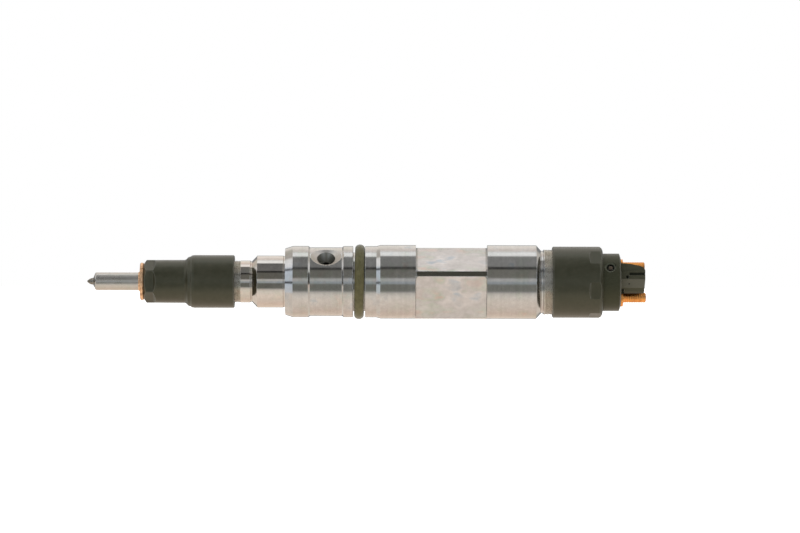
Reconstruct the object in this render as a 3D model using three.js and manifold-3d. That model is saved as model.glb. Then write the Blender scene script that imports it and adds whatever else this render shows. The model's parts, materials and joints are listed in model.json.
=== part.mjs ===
// Common-rail diesel injector of the truck type: nozzle on the left, solenoid and screw
// terminals on the right.
// Millimetres, +Z up, the axis along +X. Stations are distances along the axis from the nozzle tip.
// The origin is on the axis, halfway between the nozzle tip and the end of the longer terminal.

import * as THREE from "three";
import { mergeVertices } from "three/addons/utils/BufferGeometryUtils.js";
import Module from "manifold-3d";

const wasm = await Module();
wasm.setup();

// ---- driving dimensions ----

const LENGTH = 223.4;
const OUTER_SIDES = 32; // facets round the large turned surfaces
const INNER_SIDES = 16; // facets round bores and small turned parts
const DRILL_SIDES = 8; // facets round drilled holes
const MAKING_GAP = 0.05; // left between stacked parts that only lean on each other

// nozzle
const SHANK_RADIUS = 3.55;
const COLLAR_RADIUS = 7.15;
const NOZZLE_SHOULDER = 29.0;
const NOZZLE_FACE = 47.0; // where the nozzle and the body meet
const NEEDLE_GUIDE_RADIUS = 2.0;
const SEAT_TAPER = 0.5833; // radius gained per mm on the 60 degree needle seat
const SPRAY_HOLES = 7;

// washer and nozzle nut
const WASHER_FRONT = 21.2;
const NUT_FRONT = 22.72;
const NUT_BACK = 58.9;
const NUT_SMALL_RADIUS = 8.6;
const NUT_LARGE_RADIUS = 10.55;
const NUT_HEX_ACROSS = 15.0;
const NUT_HEX_END = 27.0;

// body
const THREAD_RADIUS = 8.35;
const BODY_RADIUS = 14.725;
const BODY_END = 194.0;
const COLLAR_LAND_RADIUS = 14.27; // the lands on both sides of the inlet and the ring groove
const RECESS_RADIUS = 13.75;
const RING_GROOVE = [106.6, 111.1];
const RING_GROOVE_RADIUS = 11.7;
const UPPER_FLAT = { start: 131.4, end: 159.9, angle: 64.2 }; // angles are above the front of the body
const LOWER_FLAT = { start: 131.2, end: 159.7, angle: -38.2 };
const FLAT_HEIGHT = 9.98; // from the axis to each clamp flat
const INLET_STATION = 95.6;
const INLET_ANGLE = 48;
const DRAIN_ANGLE = INLET_ANGLE + 180;
const PRESSURE_OFFSET = 5.6; // from the axis to the long pressure drilling
const DRAIN_OFFSET = 8.95;
const PLUNGER_BORE = 2.25;
const SPRING_CHAMBER_RADIUS = 4.0;
const SPRING_CHAMBER_END = 70.6;

// control valve and armature space
const CHAMBER_FLOOR = 156.0;
const VALVE_SEAT = 172.0;
const VALVE_TOP = 177.0;
const CAVITY_FLOOR = 182.5;
const CAVITY_RADIUS = 10.6;
const BALL_RADIUS = 0.67;
const PIN_RADIUS = 1.5;

// solenoid
const POLE_FACE = 191.0;
const CORE_END = 200.0;
const SLEEVE_END = 204.0;
const SOLENOID_NUT = [185.88, 205.92];
const SOLENOID_NUT_RADIUS = 14.23;
const SOLENOID_NUT_ACROSS = 27.6;
const CAP_RADIUS = 11.5;
const CAP_FACE = 213.2;
const TERMINAL_OFFSET = 6.1;
const TERMINAL_RADIUS = 1.95;
const UPPER_TERMINAL_END = 222.84;

// ---- materials ----

function finish(color, roughness, metalness) {
  return new THREE.MeshStandardMaterial({ color, roughness, metalness });
}

const turnedSteel = finish(0xb9b1a7, 0.28, 1.0);
const hardSteel = finish(0x9a9892, 0.22, 1.0);
const blackSteel = finish(0x3a3a32, 0.5, 0.4);
const copper = finish(0xd79b68, 0.35, 1.0);
const terminalCopper = finish(0xe0934a, 0.3, 1.0);
const springSteel = finish(0x6d6e70, 0.3, 1.0);
const softIron = finish(0x5b5a57, 0.6, 0.7);
const oliveRubber = finish(0x67664c, 0.7, 0.0);
const darkPlastic = finish(0x4a483f, 0.6, 0.0);
const bobbinPlastic = finish(0xb5a98c, 0.6, 0.0);
const plugSealant = finish(0x6b4a38, 0.6, 0.0);

// ---- solids ----

// A closed three.js geometry as a manifold-3d solid with its faces out.
function solid(geometry) {
  const bare = geometry.index ? geometry.toNonIndexed() : geometry.clone();
  bare.deleteAttribute("normal");
  bare.deleteAttribute("uv");
  const merged = mergeVertices(bare, 1e-4);
  const position = merged.getAttribute("position");
  const corners = [0, 1, 2].map(() => new THREE.Vector3());
  const faces = [];
  let volume = 0;
  for (let i = 0; i < merged.index.count; i += 3) {
    const face = [0, 1, 2].map((k) => merged.index.getX(i + k));
    if (new Set(face).size < 3) continue;
    face.forEach((vertex, k) => corners[k].fromBufferAttribute(position, vertex));
    volume += corners[0].dot(corners[1].cross(corners[2]));
    faces.push(face);
  }
  if (volume < 0) faces.forEach((face) => face.reverse());
  return new wasm.Manifold(
    new wasm.Mesh({
      numProp: 3,
      vertProperties: new Float32Array(position.array),
      triVerts: new Uint32Array(faces.flat()),
    }),
  );
}

function geometryOf(manifold) {
  const mesh = manifold.getMesh();
  const geometry = new THREE.BufferGeometry();
  geometry.setAttribute("position", new THREE.BufferAttribute(mesh.vertProperties, 3));
  geometry.setIndex(new THREE.BufferAttribute(mesh.triVerts, 1));
  geometry.computeVertexNormals();
  return geometry;
}

// A solid of revolution about the axis. The profile is [station, radius] points; if it doesn't start on the
// axis it is a ring, and closes on itself.
function turned(profile, sides = INNER_SIDES) {
  const points = profile.map(([station, radius]) => new THREE.Vector2(radius, station));
  if (profile[0][1] > 0) points.push(points[0].clone());
  return solid(new THREE.LatheGeometry(points, sides).rotateZ(-Math.PI / 2));
}

function ring(start, end, innerRadius, outerRadius, sides = INNER_SIDES) {
  return turned([[start, innerRadius], [end, innerRadius], [end, outerRadius], [start, outerRadius]], sides);
}

function plug(start, end, radius, sides) {
  return turned([[start, 0], [start, radius], [end, radius], [end, 0]], sides);
}

// The unit vector square to the axis at an angle above the front (-Y) of the injector, in degrees.
function outward(angle) {
  const turn = THREE.MathUtils.degToRad(angle);
  return new THREE.Vector3(0, -Math.cos(turn), Math.sin(turn));
}

// The point at a station, a distance from the axis, in the direction of an angle.
function at(station, distance, angle) {
  return outward(angle).multiplyScalar(distance).setX(station);
}

// A straight round hole or cone from one point to another.
function drill(from, to, radius, endRadius = radius, sides = DRILL_SIDES) {
  const along = new THREE.Vector3().subVectors(to, from);
  const geometry = new THREE.CylinderGeometry(endRadius, radius, along.length(), sides);
  const direction = along.clone().normalize();
  const turn = new THREE.Quaternion().setFromUnitVectors(new THREE.Vector3(0, 1, 0), direction);
  geometry.applyQuaternion(turn);
  geometry.translate(...from.clone().addScaledVector(along, 0.5).toArray());
  return solid(geometry);
}

// A block between two stations, as wide as given, whose inner face is at a height from the axis,
// on one side of it.
function sideBlock(start, end, height, depth, width, angle) {
  const geometry = new THREE.BoxGeometry(end - start, depth, width);
  const alongOut = outward(angle);
  const across = new THREE.Vector3(1, 0, 0).cross(alongOut);
  const basis = new THREE.Matrix4().makeBasis(new THREE.Vector3(1, 0, 0), alongOut, across);
  basis.setPosition(at((start + end) / 2, height + depth / 2, angle));
  return solid(geometry.applyMatrix4(basis));
}

function outline(points) {
  return new THREE.Shape(points.map(([u, v]) => new THREE.Vector2(u, v)));
}

// A prism along the axis from an outline of [y, z] points.
function prismAlongAxis(points, start, end) {
  const geometry = new THREE.ExtrudeGeometry(outline(points), { depth: end - start, bevelEnabled: false });
  const basis = new THREE.Matrix4().makeBasis(
    new THREE.Vector3(0, 1, 0),
    new THREE.Vector3(0, 0, 1),
    new THREE.Vector3(1, 0, 0),
  );
  return solid(geometry.applyMatrix4(basis.setPosition(start, 0, 0)));
}

// A prism from front to back from an outline of [station, z] points.
function prismAcross(points, width) {
  const geometry = new THREE.ExtrudeGeometry(outline(points), { depth: width, bevelEnabled: false });
  const basis = new THREE.Matrix4().makeBasis(
    new THREE.Vector3(1, 0, 0),
    new THREE.Vector3(0, 0, 1),
    new THREE.Vector3(0, -1, 0),
  );
  return solid(geometry.applyMatrix4(basis.setPosition(0, width / 2, 0)));
}

function cut(body, ...tools) {
  return tools.reduce((left, tool) => left.subtract(tool), body);
}

// A torus round the axis.
function roundRing(station, radius, cordRadius, sides, cordSides) {
  const geometry = new THREE.TorusGeometry(radius, cordRadius, cordSides, sides).rotateY(Math.PI / 2);
  return solid(geometry.translate(station, 0, 0));
}

// The centre line of a coil spring whose first and last turns are closed.
class CoilLine extends THREE.Curve {
  constructor(start, end, radius, turns, closedPitch) {
    super();
    Object.assign(this, { start, end, radius, turns, closedPitch });
  }
  getPoint(t, target = new THREE.Vector3()) {
    const turn = t * this.turns;
    const openPitch = (this.end - this.start - 2 * this.closedPitch) / (this.turns - 2);
    const openTurns = Math.min(Math.max(turn - 1, 0), this.turns - 2);
    const station = this.start + this.closedPitch * (turn - openTurns) + openPitch * openTurns;
    const angle = turn * 2 * Math.PI;
    return target.set(station, this.radius * Math.cos(angle), this.radius * Math.sin(angle));
  }
}

function coilSpring(start, end, radius, wireRadius, turns) {
  const line = new CoilLine(start + wireRadius, end - wireRadius, radius, turns, 2.15 * wireRadius);
  const section = new THREE.Shape().absarc(0, 0, wireRadius, 0, 2 * Math.PI, false);
  const stepsPerTurn = 10;
  return solid(
    new THREE.ExtrudeGeometry(section, { steps: turns * stepsPerTurn, curveSegments: 2, extrudePath: line }),
  );
}

// ---- nozzle ----

function nozzleBody() {
  const outer = turned([
    [0, 0], [0.1, 0.2], [0.45, 0.5], [0.85, 0.9], [1.25, 1.12], [2.0, 1.3], [2.45, 1.45],
    [2.8, 2.3], [3.2, 3.3], [3.6, SHANK_RADIUS], [27.8, SHANK_RADIUS],
    [NOZZLE_SHOULDER, 3.8], [NOZZLE_SHOULDER, COLLAR_RADIUS],
    [NOZZLE_FACE, COLLAR_RADIUS], [NOZZLE_FACE, 0],
  ]);
  const seatEnd = 2.8 + (1.95 - 0.5) / SEAT_TAPER;
  const bore = turned([
    [1.4, 0], [1.4, 0.5], [2.8, 0.5], [seatEnd, 1.95], [30, 1.95], [30.6, 3.3], [32.8, 3.3],
    [33.5, NEEDLE_GUIDE_RADIUS + 0.05], [NOZZLE_FACE + 1, NEEDLE_GUIDE_RADIUS + 0.05], [NOZZLE_FACE + 1, 0],
  ]);
  const feed = drill(at(31.5, 2.9, INLET_ANGLE), at(NOZZLE_FACE + 0.5, PRESSURE_OFFSET, INLET_ANGLE), 0.8);
  const sprayHoles = Array.from({ length: SPRAY_HOLES }, (_, i) => {
    const angle = (i * 360) / SPRAY_HOLES;
    return drill(at(2.0, 0.35, angle), at(1.55, 2.2, angle), 0.1, 0.1, 6);
  });
  return cut(outer, bore, feed, ...dowelHoles(), ...sprayHoles);
}

function nozzleNeedle() {
  const tipGap = 0.05;
  const tip = 2.8 - (0.5 - tipGap) / SEAT_TAPER;
  return turned([
    [tip, 0], [tip + 1.4 / SEAT_TAPER, 1.4], [33.0, 1.4], [33.6, NEEDLE_GUIDE_RADIUS],
    [46.6, NEEDLE_GUIDE_RADIUS], [46.6, 1.2], [48.45, 1.2], [48.45, 0],
  ]);
}

// Two pins, not opposite each other, so that the nozzle fits the body one way round only.
const DOWEL_ANGLES = [INLET_ANGLE + 90, INLET_ANGLE - 100];
const DOWEL_OFFSET = 5.4;
const DOWEL_RADIUS = 0.8;

function nozzleDowel(angle) {
  return drill(
    at(NOZZLE_FACE - 2.5, DOWEL_OFFSET, angle),
    at(NOZZLE_FACE + 2.5, DOWEL_OFFSET, angle),
    DOWEL_RADIUS,
  );
}

function dowelHoles() {
  return DOWEL_ANGLES.map((angle) =>
    drill(
      at(NOZZLE_FACE - 2.8, DOWEL_OFFSET, angle),
      at(NOZZLE_FACE + 2.8, DOWEL_OFFSET, angle),
      DOWEL_RADIUS + 0.05,
    ),
  );
}

// Copper seal, with the small inner collar that grips the nozzle shank.
function sealingWasher() {
  const bore = SHANK_RADIUS + 0.06;
  return turned(
    [
      [20.5, bore], [20.5, 3.75], [WASHER_FRONT, 3.95], [WASHER_FRONT, 7.1], [21.5, 7.5],
      [22.3, 7.5], [NUT_FRONT, 7.05], [NUT_FRONT, bore],
    ],
    OUTER_SIDES,
  );
}

function nozzleNut() {
  const shell = turned(
    [
      [NUT_FRONT, 3.85], [NUT_FRONT, 7.1], [23.72, NUT_SMALL_RADIUS], [39.1, NUT_SMALL_RADIUS],
      [39.6, 8.85], [40.5, 9.75], [41.5, 10.13], [42.1, 10.42], [43.0, NUT_LARGE_RADIUS],
      [NUT_BACK - 0.35, NUT_LARGE_RADIUS], [NUT_BACK, NUT_LARGE_RADIUS - 0.35],
      [NUT_BACK, THREAD_RADIUS + 0.1], [49.9, THREAD_RADIUS + 0.1], [49.0, COLLAR_RADIUS + 0.1],
      [NOZZLE_SHOULDER, COLLAR_RADIUS + 0.1], [NOZZLE_SHOULDER, 3.85],
    ],
    OUTER_SIDES,
  );
  const flats = Array.from({ length: 6 }, (_, i) =>
    sideBlock(NUT_FRONT - 1, NUT_HEX_END, NUT_HEX_ACROSS / 2, 3, 12, i * 60),
  );
  return cut(shell, ...flats);
}

// ---- spring pack and plunger ----

function springSeat() {
  return turned([[48.5, 0], [48.5, 3.6], [49.8, 3.6], [49.8, 2.3], [51.0, 2.3], [51.0, 0]]);
}

function nozzleSpring() {
  return coilSpring(49.8 + MAKING_GAP, 68.9, 3.0, 0.5, 9);
}

function nozzleSpringShim() {
  return ring(68.95, SPRING_CHAMBER_END - MAKING_GAP, 2.4, 3.8);
}

function controlPlunger() {
  return turned([
    [51.05, 0], [51.05, 1.6], [71.5, 1.6], [72.2, PLUNGER_BORE - 0.08], [150, PLUNGER_BORE - 0.08],
    [150.6, 1.7], [157.6, 1.7], [158.2, 2.1], [167.6, 2.1], [167.6, 0],
  ]);
}

// ---- body ----

function bodyOutside() {
  return turned(
    [
      [NOZZLE_FACE, 0], [NOZZLE_FACE, COLLAR_RADIUS], [49.6, COLLAR_RADIUS], [50.4, THREAD_RADIUS],
      [61.4, THREAD_RADIUS], [61.45, 8.4], [65.7, 8.4], [66.0, 8.1], [66.3, 8.1], [68.5, 10.4],
      [79.2, 10.4], [79.2, 13.3], [82.3, COLLAR_LAND_RADIUS], [88.45, COLLAR_LAND_RADIUS],
      [89.15, RECESS_RADIUS], [101.95, RECESS_RADIUS], [102.5, COLLAR_LAND_RADIUS],
      [RING_GROOVE[0], COLLAR_LAND_RADIUS], [RING_GROOVE[0], RING_GROOVE_RADIUS],
      [RING_GROOVE[1], RING_GROOVE_RADIUS], [RING_GROOVE[1], COLLAR_LAND_RADIUS],
      [115.64, COLLAR_LAND_RADIUS], [117.2, BODY_RADIUS], [179.45, BODY_RADIUS], [181.45, 12.5],
      [182.0, 12.5], [182.5, 13.0], [BODY_END - 0.5, 13.0], [BODY_END, 12.5], [BODY_END, 0],
    ],
    OUTER_SIDES,
  );
}

// Spring chamber, plunger guide and valve chamber, one behind the other.
function bodyBore() {
  return turned([
    [NOZZLE_FACE - 1, 0], [NOZZLE_FACE - 1, SPRING_CHAMBER_RADIUS],
    [SPRING_CHAMBER_END, SPRING_CHAMBER_RADIUS], [SPRING_CHAMBER_END, PLUNGER_BORE],
    [CHAMBER_FLOOR, PLUNGER_BORE], [CHAMBER_FLOOR, 5.2], [VALVE_SEAT, 5.2], [VALVE_SEAT, 8.6],
    [176.5, 8.6], [176.5, 9.5], [CAVITY_FLOOR + 0.1, 9.5], [CAVITY_FLOOR + 0.1, 0],
  ]);
}

// The pressure connection: a shallow countersink, the 60 degree seat and the bore down to the
// pressure drilling.
function inletTools() {
  const mouth = 12.4;
  const mouthRadius = 3.6;
  const seatDepth = 3.45;
  const boreRadius = 1.6;
  const rim = RECESS_RADIUS + 1.25;
  const rimRadius = 8.6;
  const sides = 20;
  const point = (distance) => at(INLET_STATION, distance, INLET_ANGLE);
  return [
    drill(point(mouth), point(rim), mouthRadius, rimRadius, sides),
    drill(point(mouth - seatDepth), point(mouth + 0.01), boreRadius, mouthRadius, sides),
    drill(point(PRESSURE_OFFSET), point(mouth - seatDepth + 0.5), boreRadius, boreRadius, sides),
  ];
}

function bodyDrillings() {
  return [
    drill(at(NOZZLE_FACE - 1, PRESSURE_OFFSET, INLET_ANGLE), at(168, PRESSURE_OFFSET, INLET_ANGLE), 0.9),
    drill(
      at(INLET_STATION - 2, DRAIN_OFFSET, DRAIN_ANGLE),
      at(CAVITY_FLOOR + 0.1, DRAIN_OFFSET, DRAIN_ANGLE),
      0.7,
    ),
    drill(
      at(INLET_STATION, DRAIN_OFFSET, DRAIN_ANGLE),
      at(INLET_STATION, RECESS_RADIUS + 1, DRAIN_ANGLE),
      1.25,
    ),
    drill(at(63.5, 2, DRAIN_ANGLE), at(63.5, 10, DRAIN_ANGLE), 1.0),
  ];
}

function injectorBody() {
  const flats = [UPPER_FLAT, LOWER_FLAT].map(({ start, end, angle }) =>
    sideBlock(start, end, FLAT_HEIGHT, 8, 32, angle),
  );
  const armatureSpace = plug(CAVITY_FLOOR, BODY_END + 1, CAVITY_RADIUS, OUTER_SIDES);
  const holes = [...inletTools(), ...bodyDrillings(), ...dowelHoles()];
  return cut(bodyOutside(), bodyBore(), armatureSpace, ...flats, ...holes);
}

function bodyRing() {
  return roundRing((RING_GROOVE[0] + RING_GROOVE[1]) / 2 + 0.15, 13.35, 1.62, OUTER_SIDES, 8);
}

// ---- control valve ----

function valveBody() {
  const stemRadius = 4.2;
  const throttleRadius = 0.25;
  const throttleTop = 176.6;
  const boreEnd = 168.6;
  const shell = turned([
    [157.2, 2.18], [157.2, stemRadius], [VALVE_SEAT, stemRadius], [VALVE_SEAT, 8.3], [VALVE_TOP, 8.3],
    [VALVE_TOP, 0.94], [throttleTop, throttleRadius], [boreEnd, throttleRadius], [boreEnd, 2.18],
  ]);
  return cut(shell, drill(at(168.2, 1.9, INLET_ANGLE), at(168.2, 4.6, INLET_ANGLE), 0.3, 0.3, 8));
}

function valveSealRing() {
  return ring(CHAMBER_FLOOR, CHAMBER_FLOOR + 2.6, 4.25, 5.15);
}

function valveClampNut() {
  const slots = [0, 90, 180, 270].map((angle) => sideBlock(181.2, 183, 5.6, 5, 2, angle));
  return cut(ring(VALVE_TOP, 182.4, 4.2, 9.4), ...slots);
}

function valveBall() {
  return solid(new THREE.SphereGeometry(BALL_RADIUS, 10, 6).rotateZ(Math.PI / 2).translate(177.25, 0, 0));
}

function ballGuide() {
  return turned([[177.95, 0], [177.6, 0.75], [177.6, 1.9], [179.2, 1.9], [179.2, 0]]);
}

// ---- armature ----

function armaturePin() {
  const grooveRadius = 1.15;
  return turned([
    [179.25, 0], [179.25, 1.2], [179.6, PIN_RADIUS], [190.7, PIN_RADIUS], [190.7, grooveRadius],
    [191.45, grooveRadius], [191.45, PIN_RADIUS], [192.0, PIN_RADIUS], [192.0, 0.85],
    [193.0, 0.85], [193.0, 0],
  ]);
}

function armatureGuide() {
  const sleeveRadius = 3.2;
  const bore = PIN_RADIUS + 0.06;
  const shell = turned([
    [180.6, bore], [180.6, sleeveRadius], [183.5, sleeveRadius], [183.5, 10.4], [185.3, 10.4],
    [185.3, sleeveRadius], [187.4, sleeveRadius], [187.4, bore],
  ]);
  const windows = [0, 120, 240].map((angle) => drill(at(183, 6.6, angle), at(186, 6.6, angle), 1.5));
  return cut(shell, ...windows);
}

function armatureLiftShim() {
  return ring(CAVITY_FLOOR, 183.5, 8.4, 10.4);
}

function armatureSpring() {
  return coilSpring(185.3 + MAKING_GAP, 189.0, 4.0, 0.25, 5);
}

function armaturePlate() {
  const slots = [60, 180, 300].map((angle) => sideBlock(188.5, 191, 5.2, 4, 1.6, angle));
  return cut(ring(189.05, 190.68, PIN_RADIUS + 0.08, 7.6), ...slots);
}

// C-shaped washer in the groove of the pin: it slides in from one side.
function armatureLockWasher() {
  return cut(ring(190.72, 191.4, 1.2, 2.6), sideBlock(190, 192, 0, 4, 2.1, 180));
}

function armatureLockSleeve() {
  return turned([
    [190.74, 2.68], [190.74, 3.3], [192.1, 3.3], [192.1, 1.75], [191.5, 1.75], [191.5, 2.68],
  ]);
}

function airGapDisc() {
  return ring(185.3, POLE_FACE, 8.7, 10.35);
}

// ---- solenoid ----

function leadHoles(start, end, radius) {
  return [TERMINAL_OFFSET, -TERMINAL_OFFSET].map((z) =>
    drill(new THREE.Vector3(start, 0, z), new THREE.Vector3(end, 0, z), radius),
  );
}

function magnetCore() {
  const shell = turned([
    [POLE_FACE, 3.6], [POLE_FACE, 4.9], [197.3, 4.9], [197.3, 7.4], [POLE_FACE, 7.4], [POLE_FACE, 9.0],
    [CORE_END, 9.0], [CORE_END, 1.3], [199.0, 1.3], [199.0, 2.75], [192.6, 2.75], [192.6, 3.6],
  ]);
  return cut(shell, ...leadHoles(196, 201, 0.7));
}

function coilBobbin() {
  const shell = turned([
    [191.5, 5.0], [191.5, 7.3], [192.1, 7.3], [192.1, 5.5],
    [196.6, 5.5], [196.6, 7.3], [197.2, 7.3], [197.2, 5.0],
  ]);
  return cut(shell, ...leadHoles(196, 198, 0.6));
}

function coilWinding() {
  return ring(192.15, 196.55, 5.55, 7.2);
}

function coilLead(side) {
  const z = side * TERMINAL_OFFSET;
  return drill(new THREE.Vector3(196.6, 0, z), new THREE.Vector3(207.2, 0, z), 0.45);
}

function magnetSleeve() {
  return turned(
    [
      [POLE_FACE, 9.05], [POLE_FACE, 10.45], [191.7, 10.45], [191.7, 9.65], [193.3, 9.65], [193.3, 10.45],
      [BODY_END, 10.45], [BODY_END, 12.5], [SLEEVE_END, 12.5], [SLEEVE_END, 11.4], [202.6, 11.4],
      [202.6, 11.9], [201.2, 11.9], [201.2, 11.4], [CORE_END, 11.4], [CORE_END, 9.05],
    ],
    OUTER_SIDES,
  );
}

function valveSpring() {
  return coilSpring(192.1 + MAKING_GAP, 198.45, 2.1, 0.4, 6);
}

function valveSpringShim() {
  return ring(198.5, 199.0, 1.4, 2.65);
}

function solenoidRing() {
  return roundRing(192.5, 10.12, 0.42, OUTER_SIDES, 6);
}

function solenoidNut() {
  const [start, end] = SOLENOID_NUT;
  const boreRadius = 13.1;
  const shell = turned(
    [
      [start, boreRadius], [start, SOLENOID_NUT_RADIUS - 0.35], [start + 0.35, SOLENOID_NUT_RADIUS],
      [end - 1.28, SOLENOID_NUT_RADIUS], [end - 0.5, 13.75], [end, 12.8], [end, CAP_RADIUS + 0.2],
      [SLEEVE_END, CAP_RADIUS + 0.2], [SLEEVE_END, 12.6], [195.5, 12.6], [195.5, boreRadius],
    ],
    OUTER_SIDES,
  );
  const flats = Array.from({ length: 6 }, (_, i) =>
    sideBlock(200.6, end + 1, SOLENOID_NUT_ACROSS / 2, 3, 12, 46 - i * 60),
  );
  return cut(shell, ...flats);
}

// ---- terminals ----

const PLUG_STATION = 208.9;
const PLUG_ANGLE = 32.5;
const PLUG_RADIUS = 0.9;

// The wall between the terminals. It wraps round the upper one, and its top edge falls towards the end.
function divider() {
  const half = [
    [0, -4.8], [-4.3, -4.8], [-5.4, -4.0], [-6.3, -2.3], [-6.3, 1.0], [-5.7, 3.0],
    [-5.7, 7.9], [-4.2, 7.9], [-4.2, 2.2], [0, 2.2],
  ];
  const mirrored = half.slice(1, -1).reverse().map(([y, z]) => [-y, z]);
  const section = prismAlongAxis([...half, ...mirrored], 210, 224);
  const side = prismAcross(
    [
      [210, -5], [222.35, -5], [223.2, 1.5], [223.2, 4.9], [222.4, 6.1],
      [220.5, 6.8], [217.4, 7.3], [213.9, 7.65], [210, 7.65],
    ],
    20,
  );
  const nutRoom = [TERMINAL_OFFSET, -TERMINAL_OFFSET].map((z) =>
    drill(new THREE.Vector3(CAP_FACE, 0, z), new THREE.Vector3(225, 0, z), 3.9, 3.9, 24),
  );
  const slots = [0, 180].map((angle) => sideBlock(217.3, 224, 5.0, 3, 1.0, angle).translate([0, 0, 3.0]));
  return cut(section.intersect(side), ...nutRoom, ...slots);
}

function connectorTop() {
  const moulding = turned(
    [
      [CORE_END + MAKING_GAP, 0], [CORE_END + MAKING_GAP, 11.3], [201.25, 11.3], [201.25, 11.8],
      [202.55, 11.8], [202.55, 11.3], [SLEEVE_END, 11.3], [SLEEVE_END, CAP_RADIUS],
      [212.6, CAP_RADIUS], [CAP_FACE, 9.6], [CAP_FACE, 0],
    ],
    OUTER_SIDES,
  );
  const sockets = [TERMINAL_OFFSET, -TERMINAL_OFFSET].map((z) =>
    drill(new THREE.Vector3(207.2, 0, z), new THREE.Vector3(CAP_FACE + 1, 0, z), 2.1, 2.1, INNER_SIDES),
  );
  const plugPoint = (distance) => at(PLUG_STATION, distance, PLUG_ANGLE);
  const plugSeat = [
    drill(plugPoint(11.15), plugPoint(13), 2.3, 2.3, 20),
    drill(plugPoint(10.2), plugPoint(12), 1.5, 1.5, 16),
    drill(plugPoint(8.9), plugPoint(11), PLUG_RADIUS + 0.08, PLUG_RADIUS + 0.08, 12),
  ];
  return cut(moulding.add(divider()), ...leadHoles(199, 208, 0.55), ...sockets, ...plugSeat);
}

function ventPlug() {
  const inner = at(PLUG_STATION, 9.0, PLUG_ANGLE);
  const outer = at(PLUG_STATION, 10.95, PLUG_ANGLE);
  return drill(inner, outer, PLUG_RADIUS, PLUG_RADIUS, 12);
}

function terminalStud(side, end) {
  const stud = turned([
    [207.25, 0], [207.25, 2.0], [CAP_FACE, 2.0], [CAP_FACE, 3.6], [CAP_FACE + 1, 3.6],
    [CAP_FACE + 1, TERMINAL_RADIUS], [end - 0.4, TERMINAL_RADIUS], [end, TERMINAL_RADIUS - 0.4], [end, 0],
  ]);
  return stud.translate([0, 0, side * TERMINAL_OFFSET]);
}

// ---- assembly ----

const injector = new THREE.Group();
injector.position.x = -LENGTH / 2;

function add(name, shape, material) {
  const mesh = new THREE.Mesh(geometryOf(shape), material);
  mesh.name = name;
  injector.add(mesh);
}

add("nozzle_body", nozzleBody(), hardSteel);
add("nozzle_needle", nozzleNeedle(), hardSteel);
add("nozzle_dowel_a", nozzleDowel(DOWEL_ANGLES[0]), hardSteel);
add("nozzle_dowel_b", nozzleDowel(DOWEL_ANGLES[1]), hardSteel);
add("sealing_washer", sealingWasher(), copper);
add("nozzle_nut", nozzleNut(), blackSteel);

add("spring_seat", springSeat(), hardSteel);
add("nozzle_spring", nozzleSpring(), springSteel);
add("nozzle_spring_shim", nozzleSpringShim(), hardSteel);
add("control_plunger", controlPlunger(), hardSteel);

add("injector_body", injectorBody(), turnedSteel);
add("body_o_ring", bodyRing(), oliveRubber);

add("valve_body", valveBody(), hardSteel);
add("valve_seal_ring", valveSealRing(), copper);
add("valve_clamp_nut", valveClampNut(), softIron);
add("valve_ball", valveBall(), hardSteel);
add("ball_guide", ballGuide(), hardSteel);

add("armature_pin", armaturePin(), hardSteel);
add("armature_guide", armatureGuide(), hardSteel);
add("armature_lift_shim", armatureLiftShim(), hardSteel);
add("armature_spring", armatureSpring(), springSteel);
add("armature_plate", armaturePlate(), softIron);
add("armature_lock_washer", armatureLockWasher(), hardSteel);
add("armature_lock_sleeve", armatureLockSleeve(), hardSteel);
add("air_gap_disc", airGapDisc(), turnedSteel);

add("magnet_core", magnetCore(), softIron);
add("coil_bobbin", coilBobbin(), bobbinPlastic);
add("coil_winding", coilWinding(), copper);
add("coil_lead_a", coilLead(1), copper);
add("coil_lead_b", coilLead(-1), copper);
add("magnet_sleeve", magnetSleeve(), turnedSteel);
add("valve_spring", valveSpring(), springSteel);
add("valve_spring_shim", valveSpringShim(), hardSteel);
add("solenoid_o_ring", solenoidRing(), oliveRubber);
add("solenoid_nut", solenoidNut(), blackSteel);

add("connector_top", connectorTop(), darkPlastic);
add("vent_plug", ventPlug(), plugSealant);
add("terminal_stud_a", terminalStud(1, UPPER_TERMINAL_END), terminalCopper);
add("terminal_stud_b", terminalStud(-1, LENGTH), terminalCopper);

export default injector;
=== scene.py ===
"""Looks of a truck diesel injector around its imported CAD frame.

Shapes are worked out in millimetres along the injector: a station is the distance from the nozzle tip,
and an angle is measured above the front (-Y) of the injector, in degrees. Every mesh carries the exact
normal of the surface it stands for at each face corner, through all the cutting, so that polished
steel has no facets.
"""

import json
from math import acos, ceil, copysign, cos, degrees, pi, radians, sin, tan

import bpy
import numpy as np
from mathutils import Matrix, Vector


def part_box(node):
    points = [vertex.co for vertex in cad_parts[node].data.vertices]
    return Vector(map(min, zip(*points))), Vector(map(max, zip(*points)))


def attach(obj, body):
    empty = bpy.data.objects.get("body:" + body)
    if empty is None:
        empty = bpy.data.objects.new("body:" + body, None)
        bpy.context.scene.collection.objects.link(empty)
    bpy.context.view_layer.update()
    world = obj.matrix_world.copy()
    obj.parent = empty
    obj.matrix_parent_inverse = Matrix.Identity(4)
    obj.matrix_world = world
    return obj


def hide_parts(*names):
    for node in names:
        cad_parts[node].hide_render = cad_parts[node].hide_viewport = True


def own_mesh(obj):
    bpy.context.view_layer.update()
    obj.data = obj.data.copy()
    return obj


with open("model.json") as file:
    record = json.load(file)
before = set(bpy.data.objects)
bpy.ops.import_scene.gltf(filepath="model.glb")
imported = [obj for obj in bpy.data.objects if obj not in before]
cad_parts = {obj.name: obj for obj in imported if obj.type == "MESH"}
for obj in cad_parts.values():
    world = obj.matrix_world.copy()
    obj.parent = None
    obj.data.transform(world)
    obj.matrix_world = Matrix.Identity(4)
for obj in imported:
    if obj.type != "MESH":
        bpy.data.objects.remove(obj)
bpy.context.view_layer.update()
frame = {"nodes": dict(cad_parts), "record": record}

record = frame["record"]
SLOT_OF = {row["node"]: row["material_slot"] for row in record["subparts"]}
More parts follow.
